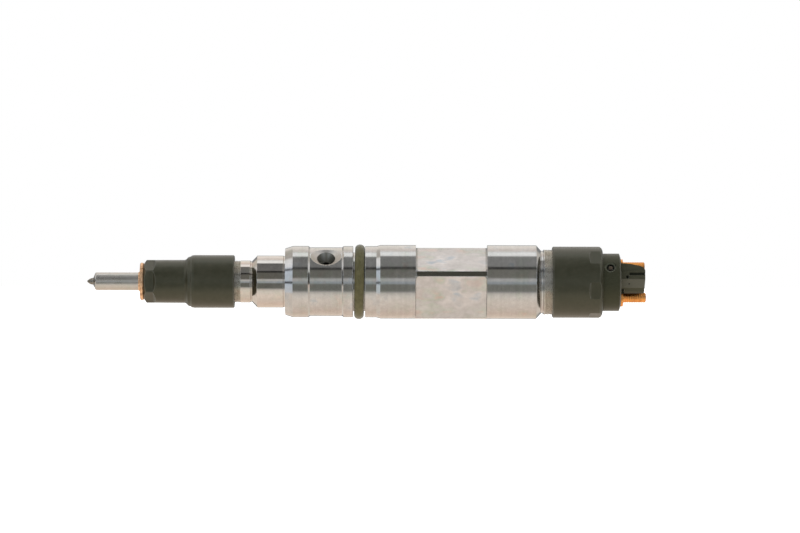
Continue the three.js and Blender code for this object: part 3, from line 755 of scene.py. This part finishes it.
def body():
    land, recess, groove, channel = 14.27, 13.75, 11.7, 2.25
    neck, front, back = 8.4, 10.4, 13.0
    profile = [
        (JOINT_FACE, 7.15), (49.6, 7.15), (50.4, 8.35), (57.5, 8.35), (61.4, 8.35, 0.0), (61.45, neck, 0.0),
        (65.25, neck, 0.15), (65.55, 8.1, 0.1), (65.85, 8.1, 0.1), (68.05, front, 0.12), (78.45, front, 0.08),
        (78.6, 10.22, 0.05), (79.2, 10.22, 0.05), (79.2, 13.3, 0.12), (82.3, land, 0.5), (88.45, land, 0.12),
        (89.15, recess, 0.12), (101.95, recess, 0.12), (102.5, land, 0.12), (106.3, land, 0.15),
        (106.3, groove, 0.2), (108.9, groove), (111.1, groove, 0.2), (111.1, land, 0.15), (115.64, land, 0.2),
        (117.2, BODY_RADIUS, 0.2), (179.45, BODY_RADIUS, 0.12), (181.45, 12.5, 0.15), (182.0, 12.5, 0.1),
        (182.5, back, 0.1), (187.1, back), (193.5, back, 0.1), (194.0, 12.5, 0.1), (194.0, 10.6),
        (182.5, 10.6), (182.5, 9.5), (176.5, 9.5), (176.5, 8.6), (172, 8.6), (172, 5.2), (156, 5.2),
        (156, channel), (70.6, channel), (70.6, 4.0), (JOINT_FACE, 4.0),
    ]
    threads = [(57.6, 61.35, 0.27, 0.6), (182.7, 187.0, 0.24, 0.55)]
    # The left part of the O-ring groove carries painted shade, the near-black steel.
    finishes = [
        (50.5, 61.45, 8.0, thread_steel), (182.55, 193.5, 12.5, thread_steel),
        (61.43, 79.21, 8.0, polished_steel), (106.55, 108.95, 11.6, grimy_steel),
    ]
    bores = [
        bore(INLET_ANGLE, (46, PRESSURE_OFFSET), (168, PRESSURE_OFFSET), 0.9),
        bore(DRAIN_ANGLE, (INLET_STATION - 2, DRAIN_OFFSET), (182.6, DRAIN_OFFSET), 0.7),
        bore(DRAIN_ANGLE, (INLET_STATION, DRAIN_OFFSET), (INLET_STATION, 15.5), 1.25),
        bore(DRAIN_ANGLE, (63.5, 3.0), (63.5, 10), 1.0),
    ]
    shell = lathe(profile, turned_steel, threads=threads, finishes=finishes)
    finished("body", cut(shell, *clamp_flats(), inlet(), *bores, *dowel_holes()), "injector_body")


def torus(name, node, station, radius, cord, width, lean):
    """An O-ring, pressed a little wider than its cord, leaning towards the terminals at its top."""
    around, section = 160, 28
    vertices, directions = [], []
    for i in range(around):
        a = 2 * pi * i / around
        out = Vector((0, -cos(a), sin(a)))
        centre = Vector((station + lean * sin(a), 0, 0)) + out * radius
        for j in range(section):
            b = 2 * pi * j / section
            c, s = cos(b), sin(b)
            vertices.append(centre + out * cord * c + Vector((width * s, 0, 0)))
            directions.append((out * c * width + Vector((cord * s, 0, 0))).normalized())
    faces = []
    for i in range(around):
        for j in range(section):
            here, there = i * section, (i + 1) % around * section
            j_next = (j + 1) % section
            faces.append([here + j, there + j, there + j_next, here + j_next])
    normals = [directions[corner] for face in faces for corner in face]
    finished(name, mesh_from(vertices, faces, normals, olive_rubber), node)


# ---- solenoid end ----


def solenoid_nut():
    start, end, radius = 185.88, 205.92, 14.23
    profile = [
        (start, 13.1), (start, radius - 0.4, 0.1), (start + 0.4, radius, 0.15), (end - 1.28, radius, 0.3),
        (end - 0.5, 13.75, 0.5), (end, 12.8, 0.2), (end, 11.7), (204.0, 11.7), (204.0, 12.6),
        (195.5, 12.6), (195.5, 13.1),
    ]
    flat = [(200.55, 15.5), (200.55, 14.2), (200.95, 13.8, 0.3), (208, 13.8), (208, 15.5)]
    flats = [prism(flat, 16, side_axes(46 - k * 60), black_steel) for k in range(6)]
    finished("solenoid_cap_nut", cut(lathe(profile, black_steel), *flats), "solenoid_nut")


def divider():
    """The wall between the terminals, with fins that wrap round the upper one."""
    half = [
        (-4.3, -4.4, 0.25), (-5.4, -3.7, 0.3), (-6.3, -2.1, 0.4), (-6.3, 1.3, 0.5), (-5.7, 3.2, 0.4),
        (-5.7, 7.9, 0.2), (-4.2, 7.9, 0.2), (-4.2, 2.2, 0.5),
    ]
    whole = half + [(-y, z, radius) for y, z, radius in reversed(half)]
    across = prism(whole, 14, axes((0, 1, 0), (0, 0, 1), (217, 0, 0)), dark_plastic)
    side = [
        (210, -4.7), (222.35, -4.7, 0.4), (222.9, 1.5, 0.6), (222.9, 4.9, 0.4), (222.3, 6.0, 0.5),
        (220.3, 6.75, 1.0), (217.0, 7.4, 1.0), (213.9, 7.7, 0.5), (210, 7.7),
    ]
    return combined(across, [("INTERSECT", prism(side, 20, upright_axes(), dark_plastic))])


def divider_marks(angle):
    """Cutters on one side of the divider: a slot, a notch at its foot, the slope of its fin and two pits. The
    slot and the pits are lined with painted shade.
    """
    sideways = outward(angle)
    slot = [(216.6, 2.95), (224, 2.95), (224, 3.95), (216.6, 3.95)]
    notch = [(CAP_FACE, -6), (214.5, -6), (214.5, -2.7, 0.2), (CAP_FACE, -2.7)]
    slope = [
        (213.0, 4.3), (215.2, 4.5), (220.5, 5.1, 1.5), (222.4, 4.9, 0.5), (224.5, 4.6), (224.5, 9.0),
        (213.0, 9.0),
    ]
    cuts = ((slot, 8.0, pocket_plastic), (notch, 6.5, dark_plastic), (slope, 8.4, dark_plastic))
    cutters = [prism(points, 6, upright_axes(sideways * out), finish) for points, out, finish in cuts]
    pits = ((215.8, 2.2, 4.9, 0.58, 0.6), (216.4, -0.6, 6.1, 0.22, 0.55))
    for station, height, bottom, radius, rim in pits:
        pit = lathe([(bottom, 0), (bottom, radius), (7.0, rim), (7.0, 0)], pocket_plastic, DRILL_SIDES)
        cutters.append(placed(pit, inward_axes(station, angle, height)))
    return cutters


def connector():
    profile = [
        (200.05, 0), (200.05, 11.3), (201.25, 11.3), (201.25, 11.8), (202.55, 11.8), (202.55, 11.3),
        (204, 11.3), (204, 11.5), (212.6, 11.5, 0.3), (CAP_FACE, 9.6, 0.3), (CAP_FACE, 0),
    ]
    cutters = []
    for z in (TERMINAL_OFFSET, -TERMINAL_OFFSET):
        cutters.append(drill((CAP_FACE, 0, z), (225, 0, z), 3.9, dark_plastic, 64))
        cutters.append(drill((207.2, 0, z), (CAP_FACE + 1, 0, z), 2.05, dark_plastic))
        cutters.append(drill((199, 0, z), (208, 0, z), 0.55, dark_plastic))
    cutters += divider_marks(0) + divider_marks(180)
    plug_place = inward_axes(PLUG_STATION, PLUG_ANGLE)
    well = [
        (8.9, 0), (8.9, 0.98), (9.9, 0.98), (9.9, 1.5, 0.1), (10.85, 1.6, 0.1), (11.0, 2.1, 0.1),
        (11.25, 2.35, 0.1), (13, 2.6), (13, 0),
    ]
    # the bottom of the vent well is lined with painted shade
    finishes = [(8.8, 10.9, 0, pocket_plastic), (10.84, 11.3, 1.55, rim_plastic)]
    cutters.append(placed(lathe(well, dark_plastic, 64, finishes=finishes), plug_place))
    cap = lathe(profile, dark_plastic, SMALL_SIDES * 2)
    steps = [("UNION", divider())] + [("DIFFERENCE", cutter) for cutter in cutters]
    finished("connector", combined(cap, steps), "connector_top")
    bead = [(9.0, 0), (9.0, 0.88), (10.75, 0.9, 0.25), (10.95, 0.35, 0.3), (10.95, 0)]
    finished("vent_bead", placed(lathe(bead, plug_sealant, 48), plug_place), "vent_plug")


def stud(name, node, side, end, flange, thick):
    radius, chamfer = 2.0, 0.45
    face = CAP_FACE + thick
    profile = [
        (207.25, 0), (207.25, radius), (CAP_FACE, radius, 0), (CAP_FACE, flange, 0.15), (face, flange, 0.2),
        (face, radius, 0.1), (end - chamfer, radius, 0), (end, radius - 0.5, 0.1), (end, 0),
    ]
    threads = [(CAP_FACE + 1.35, end - chamfer, 0.12, 0.7)]
    bar = lathe(profile, terminal_copper, 64, threads=threads)
    finished(name, placed(bar, Matrix.Translation((0, 0, side * TERMINAL_OFFSET))), node)


# ---- inside ----

GAP_FACE = 191.0  # the magnet's face over the armature plate


def turned(name, node, profile, finish=hard_steel, tools=(), edge=0.06, threads=()):
    shape = lathe(profile, finish, SMALL_SIDES, edge, threads)
    finished(name, cut(shape, *tools) if tools else shape, node)


def ring(start, end, inner, outer):
    return [(start, inner), (start, outer), (end, outer), (end, inner)]


def side_block(start, end, inner, depth, width, angle, finish):
    """A block on one side of the axis, to cut a slot or a window with."""
    block = [(start, inner), (end, inner), (end, inner + depth), (start, inner + depth)]
    return prism(block, width, side_axes(angle), finish)


def lead_holes(start, end, radius, finish):
    heights = (TERMINAL_OFFSET, -TERMINAL_OFFSET)
    return [drill((start, 0, z), (end, 0, z), radius, finish) for z in heights]


def needle_and_plunger():
    seat_taper = tan(radians(30.26))
    tip = 2.8 - 0.45 / seat_taper
    needle = [
        (tip, 0), (tip + 1.4 / seat_taper, 1.4), (33.0, 1.4), (33.6, 2.0), (46.6, 2.0, 0.1), (46.6, 1.2),
        (48.45, 1.2, 0.15), (48.45, 0),
    ]
    turned("needle", "nozzle_needle", needle)
    for name, angle in zip("ab", DOWEL_ANGLES):
        pin = lathe([(-2.5, 0), (-2.5, 0.8, 0.2), (2.5, 0.8, 0.2), (2.5, 0)], hard_steel, DRILL_SIDES)
        place = Matrix.Translation(at(JOINT_FACE, DOWEL_OFFSET, angle))
        finished("dowel_" + name, placed(pin, place), "nozzle_dowel_" + name)
    seat = [(48.5, 0), (48.5, 3.6, 0.2), (49.8, 3.6, 0.1), (49.8, 2.3, 0.15), (51.0, 2.3, 0.3), (51.0, 0)]
    turned("needle_spring_seat", "spring_seat", seat)
    turned("needle_spring_shim", "nozzle_spring_shim", ring(68.95, 70.55, 2.4, 3.8))
    rod = [
        (51.05, 0), (51.05, 1.6, 0.3), (71.5, 1.6), (72.2, 2.17), (150, 2.17), (150.6, 1.7), (157.6, 1.7),
        (158.2, 2.1),
    ]
    for groove in (161.0, 164.0):
        rod += [(groove, 2.1), (groove, 1.95), (groove + 0.4, 1.95), (groove + 0.4, 2.1)]
    turned("plunger_rod", "control_plunger", rod + [(167.6, 2.1, 0.15), (167.6, 0)])


def valve():
    feed = bore(INLET_ANGLE, (168.2, 1.9), (168.2, 4.6), 0.3, sides=16)
    piece = [
        (157.2, 2.18), (157.2, 4.2, 0.3), (172, 4.2), (172, 8.3, 0.2), (177, 8.3, 0.2), (177, 0.94),
        (176.6, 0.25), (168.6, 0.25), (168.6, 2.18),
    ]
    turned("valve_piece", "valve_body", piece, hard_steel, [feed])
    turned("valve_seal", "valve_seal_ring", ring(156.0, 158.6, 4.25, 5.15), coil_copper)
    slots = [side_block(181.2, 183, 5.6, 5, 2, angle, soft_iron) for angle in (0, 90, 180, 270)]
    thread = (177.3, 182.1, 0.25, 0.75)
    turned("valve_screw", "valve_clamp_nut", ring(177.0, 182.4, 4.2, 9.4), soft_iron, slots, 0.15, [thread])
    middle, radius, count = 177.25, 0.67, 24
    angles = [pi * k / count for k in range(1, count)]
    arc = [(middle - radius * cos(a), radius * sin(a), 0.6) for a in angles]
    turned("ball", "valve_ball", [(middle - radius, 0), *arc, (middle + radius, 0)])
    cup = [(177.95, 0), (177.6, 0.75), (177.6, 1.9, 0.15), (179.2, 1.9, 0.15), (179.2, 0)]
    turned("ball_cup", "ball_guide", cup)


def armature():
    rod = [
        (179.25, 0), (179.25, 1.2), (179.6, 1.5), (190.7, 1.5), (190.7, 1.15), (191.45, 1.15), (191.45, 1.5),
        (192.0, 1.5, 0.15), (192.0, 0.85), (193.0, 0.85, 0.2), (193.0, 0),
    ]
    turned("armature_rod", "armature_pin", rod)
    windows = [bore(angle, (183, 6.6), (186, 6.6), 1.5, hard_steel) for angle in (0, 120, 240)]
    guide = [
        (180.6, 1.56), (180.6, 3.2, 0.2), (183.5, 3.2), (183.5, 10.4, 0.1), (185.3, 10.4, 0.1),
        (185.3, 3.2), (187.4, 3.2, 0.2), (187.4, 1.56),
    ]
    turned("armature_sleeve", "armature_guide", guide, hard_steel, windows)
    turned("lift_shim", "armature_lift_shim", ring(182.5, 183.5, 8.4, 10.4))
    slots = [side_block(188.5, 191, 5.2, 4, 1.6, angle, soft_iron) for angle in (60, 180, 300)]
    turned("anchor_plate", "armature_plate", ring(189.05, 190.68, 1.58, 7.6), soft_iron, slots)
    gap = side_block(190, 192, 0, 4, 2.1, 180, hard_steel)
    turned("lock_washer", "armature_lock_washer", ring(190.72, 191.4, 1.2, 2.6), hard_steel, [gap])
    lock = [(190.74, 2.68), (190.74, 3.3), (192.1, 3.3, 0.2), (192.1, 1.75), (191.5, 1.75), (191.5, 2.68)]
    turned("lock_sleeve", "armature_lock_sleeve", lock)
    turned("gap_disc", "air_gap_disc", ring(185.3, GAP_FACE, 8.7, 10.35), turned_steel)


def solenoid():
    core = [
        (GAP_FACE, 3.6), (GAP_FACE, 4.9), (197.3, 4.9), (197.3, 7.4), (GAP_FACE, 7.4),
        (GAP_FACE, 9.0), (200, 9.0, 0.2), (200, 1.3), (199, 1.3), (199, 2.75), (192.6, 2.75),
        (192.6, 3.6),
    ]
    turned("pole_core", "magnet_core", core, soft_iron, lead_holes(196, 201, 0.7, soft_iron))
    spool = [
        (191.5, 5.0), (191.5, 7.3), (192.1, 7.3), (192.1, 5.5), (196.6, 5.5), (196.6, 7.3), (197.2, 7.3),
        (197.2, 5.0),
    ]
    turned("bobbin", "coil_bobbin", spool, bobbin_plastic, lead_holes(196, 198, 0.6, bobbin_plastic))
    start, end, wires = 192.15, 196.55, 14
    wire = (end - start) / wires
    wound = [(start, 5.55)]
    for k in range(wires):
        side = start + k * wire
        wound += [(side, 7.0, 0.0), (side, 7.2, 0.15), (side + wire, 7.2, 0.15), (side + wire, 7.0, 0.0)]
    turned("winding", "coil_winding", wound + [(end, 5.55)], coil_copper)
    for name, z in (("a", TERMINAL_OFFSET), ("b", -TERMINAL_OFFSET)):
        profile = [(196.6, 0), (196.6, 0.45, 0.1), (207.2, 0.45, 0.1), (207.2, 0)]
        lead = placed(lathe(profile, coil_copper, DRILL_SIDES), Matrix.Translation((0, 0, z)))
        finished("lead_" + name, lead, "coil_lead_" + name)
    sleeve = [
        (GAP_FACE, 9.05), (GAP_FACE, 10.45), (191.7, 10.45), (191.7, 9.65), (193.3, 9.65),
        (193.3, 10.45), (194, 10.45), (194, 12.5), (204, 12.5, 0.3), (204, 11.4), (202.6, 11.4),
        (202.6, 11.9), (201.2, 11.9), (201.2, 11.4), (200, 11.4), (200, 9.05),
    ]
    turned("sleeve", "magnet_sleeve", sleeve, turned_steel)
    turned("valve_shim", "valve_spring_shim", ring(198.5, 199.0, 1.4, 2.65))


def coil_spring(name, node, fixed, free, radius, wire, turns):
    """A spring with closed ends, wound from its fixed end to its free end."""
    steps, section = 40, 14
    start, end = sorted((fixed, free))
    closed_pitch = 2.15 * wire
    first, last = start + wire, end - wire
    open_pitch = (last - first - 2 * closed_pitch) / (turns - 2)
    total = turns * steps + 1
    vertices, directions, alongs = [], [], []
    for i in range(total):
        turn = i / steps
        open_turns = min(max(turn - 1, 0), turns - 2)
        station = first + closed_pitch * (turn - open_turns) + open_pitch * open_turns
        angle = 2 * pi * turn
        out = Vector((0, cos(angle), sin(angle)))
        climb = closed_pitch if open_turns in (0, turns - 2) else open_pitch
        along = Vector((climb / (2 * pi * radius), -sin(angle), cos(angle))).normalized()
        alongs.append(along)
        across = along.cross(out)
        for j in range(section):
            b = 2 * pi * j / section
            normal = out * cos(b) + across * sin(b)
            vertices.append(out * radius + Vector((station, 0, 0)) + normal * wire)
            directions.append(normal)
    faces = []
    for here in range(0, (total - 1) * section, section):
        for j in range(section):
            k = (j + 1) % section
            faces.append([here + j, here + k, here + section + k, here + section + j])
    normals = [directions[corner] for face in faces for corner in face]
    faces += [list(range(section - 1, -1, -1)), list(range((total - 1) * section, total * section))]
    normals += [-alongs[0]] * section + [alongs[-1]] * section
    piece = finished(name, mesh_from(vertices, faces, normals, spring_wire), node)
    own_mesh(piece)


# ---- build ----

nozzle()
washer()
nozzle_nut()
body()
torus("body_ring", "body_o_ring", 108.85, 13.35, 1.61, 1.95, 0.2)
solenoid_nut()
connector()
stud("terminal_upper", "terminal_stud_a", 1, 222.84, 3.1, 0.9)
stud("terminal_lower", "terminal_stud_b", -1, 223.39, 3.6, 1.0)
needle_and_plunger()
valve()
armature()
solenoid()
torus("solenoid_ring", "solenoid_o_ring", 192.5, 10.12, 0.42, 0.42, 0.0)
coil_spring("needle_spring", "nozzle_spring", 68.9, 49.85, 3.0, 0.5, 9)
coil_spring("ball_spring", "valve_spring", 198.45, 192.15, 2.1, 0.4, 6)
coil_spring("plate_spring", "armature_spring", 185.35, 189.0, 4.0, 0.25, 5)

LOOK_OF_SLOT = {"copper": "coil_copper", "spring_steel": "spring_wire"}  # the others share their names
for node_name, slot_name in SLOT_OF.items():
    node_materials = frame["nodes"][node_name].data.materials
    node_materials.clear()
    node_materials.append(LOOKS[LOOK_OF_SLOT.get(slot_name, slot_name)])


# ---- surroundings ----


def around(bands):
    """Ramp stops from (angle, colour) and ((start, end), colour) bands."""
    spans = [(span if isinstance(span, tuple) else (span,), colour) for span, colour in bands]
    return [((angle + 180) / 360, colour) for span, colour in spans for angle in span]


def shares(stops):
    return [(place, (share,) * 3) for place, share in stops]


def surroundings():
    """A white studio with panels round the injector: their edges are the bands in the polished steel.

    The near ones show in surfaces along it, the far ones in cones and the last in what faces its ends.
    """
    world = bpy.data.worlds.new("studio")
    bpy.context.scene.world = world
    world.use_nodes = True
    graph = Graph(world.node_tree)
    across, depth, height = graph("SeparateXYZ", Vector=graph("TexCoord").outputs["Generated"]).outputs
    turn = graph.math("ARCTAN2", height, graph.math("MULTIPLY", depth, -1.0))
    place = graph.math("MULTIPLY_ADD", turn, 0.5 / pi, 0.5)
    near_bands = [
        (-180, (0.24, 0.25, 0.25)), (-163, (0.26, 0.27, 0.27)), (-158, (1.0, 0.89, 0.8)),
        (-148, (1.0, 0.85, 0.73)), (-117, (0.92, 0.76, 0.66)), (-87, (0.93, 0.83, 0.75)),
        (-64, (1.0, 0.91, 0.83)), (-46, (0.92, 0.88, 0.83)), (-36, (0.73, 0.71, 0.68)),
        (-30, (0.3, 0.31, 0.31)), ((-28, -8), (0.26, 0.27, 0.255)), ((-5.5, 0), (0.42, 0.475, 0.53)),
        ((3, 10.5), (0.59, 0.61, 0.63)), ((13, 39), (0.235, 0.238, 0.222)),
        ((41.5, 47.5), (0.05, 0.05, 0.05)), ((50, 88), (0.31, 0.32, 0.33)), ((90.5, 108), (1.2, 1.25, 1.3)),
        (110, (0.42, 0.42, 0.43)), (112.5, (1.3, 1.3, 1.3)), (114.5, (0.9, 0.85, 0.85)),
        (122, (0.95, 0.9, 0.88)), (135, (1.1, 1.06, 1.02)), (160, (1.0, 0.97, 0.93)),
        (163, (0.3, 0.31, 0.32)), (180, (0.24, 0.25, 0.25)),
    ]
    near = graph.ramp(place, around(near_bands))
    dark_panels = [(-30, 0), ((-28, -8), 1), ((-5, 10.5), 0), ((13, 88), 1), (90.5, 0)]
    on_panel = graph.ramp(place, shares(around(dark_panels)))
    reach = 0.06
    fading = [
        (-0.045, 1.1), (-0.037, 0.42), (-0.026, 0.36), (-0.020, 0.56), (-0.010, 0.86), (0.0, 1.16),
        (0.012, 1.0),
    ]
    where = graph.math("MULTIPLY_ADD", across, 0.5 / reach, 0.5)
    fade = graph.ramp(where, shares((0.5 + 0.5 * side / reach, share) for side, share in fading))
    near = graph.mix(on_panel, near, graph.mix(1.0, near, fade, "MULTIPLY"))
    far_bands = [
        (-180, (0.26, 0.27, 0.28)), (-165, (0.28, 0.29, 0.3)), (-155, (0.95, 0.86, 0.77)),
        (-45, (0.93, 0.85, 0.78)), (-38, (0.8, 0.86, 0.94)), (-8, (0.75, 0.85, 1.0)),
        ((-6, 0), (0.06, 0.06, 0.07)), ((2, 40), (0.75, 0.85, 1.0)), ((42, 47.5), (0.06, 0.06, 0.07)),
        (49.5, (0.78, 0.87, 1.0)), (58, (1.15, 1.18, 1.25)), (84, (1.15, 1.18, 1.22)),
        (92, (0.6, 0.58, 0.56)), (150, (0.75, 0.72, 0.68)), (158, (0.3, 0.31, 0.32)),
        (180, (0.26, 0.27, 0.28)),
    ]
    far = graph.ramp(place, around(far_bands))
    black = (0.09, 0.09, 0.085)
    ends = [(0.44, (0.8, 0.74, 0.68)), (0.46, black), (0.66, black), (0.68, (0.85, 0.86, 0.88))]
    end_on = graph.ramp(graph.math("MULTIPLY_ADD", height, 0.5, 0.5), ends)
    sideways = graph.math("ABSOLUTE", across)
    seen = graph.mix(graph.step(sideways, 0.2, 0.3), near, far)
    seen = graph.mix(graph.step(sideways, 0.76, 0.84), seen, end_on)
    colour = graph.mix(graph("LightPath").outputs["Is Camera Ray"], seen, (1.0, 1.0, 1.0))
    graph("OutputWorld", Surface=graph("Background", Color=colour).outputs[0])


def pale(graph, _place, _xyz):
    """Matt, and glowing enough to vanish into the white studio."""
    matt = graph("BsdfDiffuse", Color=(0.62, 0.61, 0.6)).outputs[0]
    grazing = graph.step(graph("LayerWeight", Blend=0.5).outputs["Facing"], 0.90, 0.97)
    strength = graph.math("MULTIPLY_ADD", grazing, 0.6, 0.5)
    glow = graph("Emission", Color=(1, 1, 1), Strength=strength).outputs[0]
    return graph("AddShader", in0=matt, in1=glow).outputs[0]


def floor():
    """A pale floor that takes a soft shadow and is seen by nothing but the camera."""
    half = 3.0
    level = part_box("body_o_ring")[0].z - 0.2 * MM
    corners = [(-half, -half, level), (half, -half, level), (half, half, level), (-half, half, level)]
    mesh = bpy.data.meshes.new("floor")
    mesh.from_pydata(corners, [], [(0, 1, 2, 3)])
    mesh.materials.append(material("pale_floor", pale))
    ground = linked("floor", mesh)
    for rays in ("glossy", "diffuse", "shadow", "transmission"):
        setattr(ground, "visible_" + rays, False)


def camera():
    """Looks along +Y from far off. The injector lies a little left of the middle, and slopes by a hair."""
    distance = 2.0
    frame_width = 0.320
    data = bpy.data.cameras.new("camera")
    data.sensor_width = 36.0
    data.lens = data.sensor_width * distance / frame_width
    data.clip_start, data.clip_end = 0.05, 50
    viewer = linked("camera", data)
    viewer.location = (0.01334, -distance, 0.00616)
    viewer.rotation_euler = (radians(90), radians(-0.12), 0)
    bpy.context.scene.camera = viewer


surroundings()
floor()
camera()
bpy.context.scene.view_settings.view_transform = "Standard"
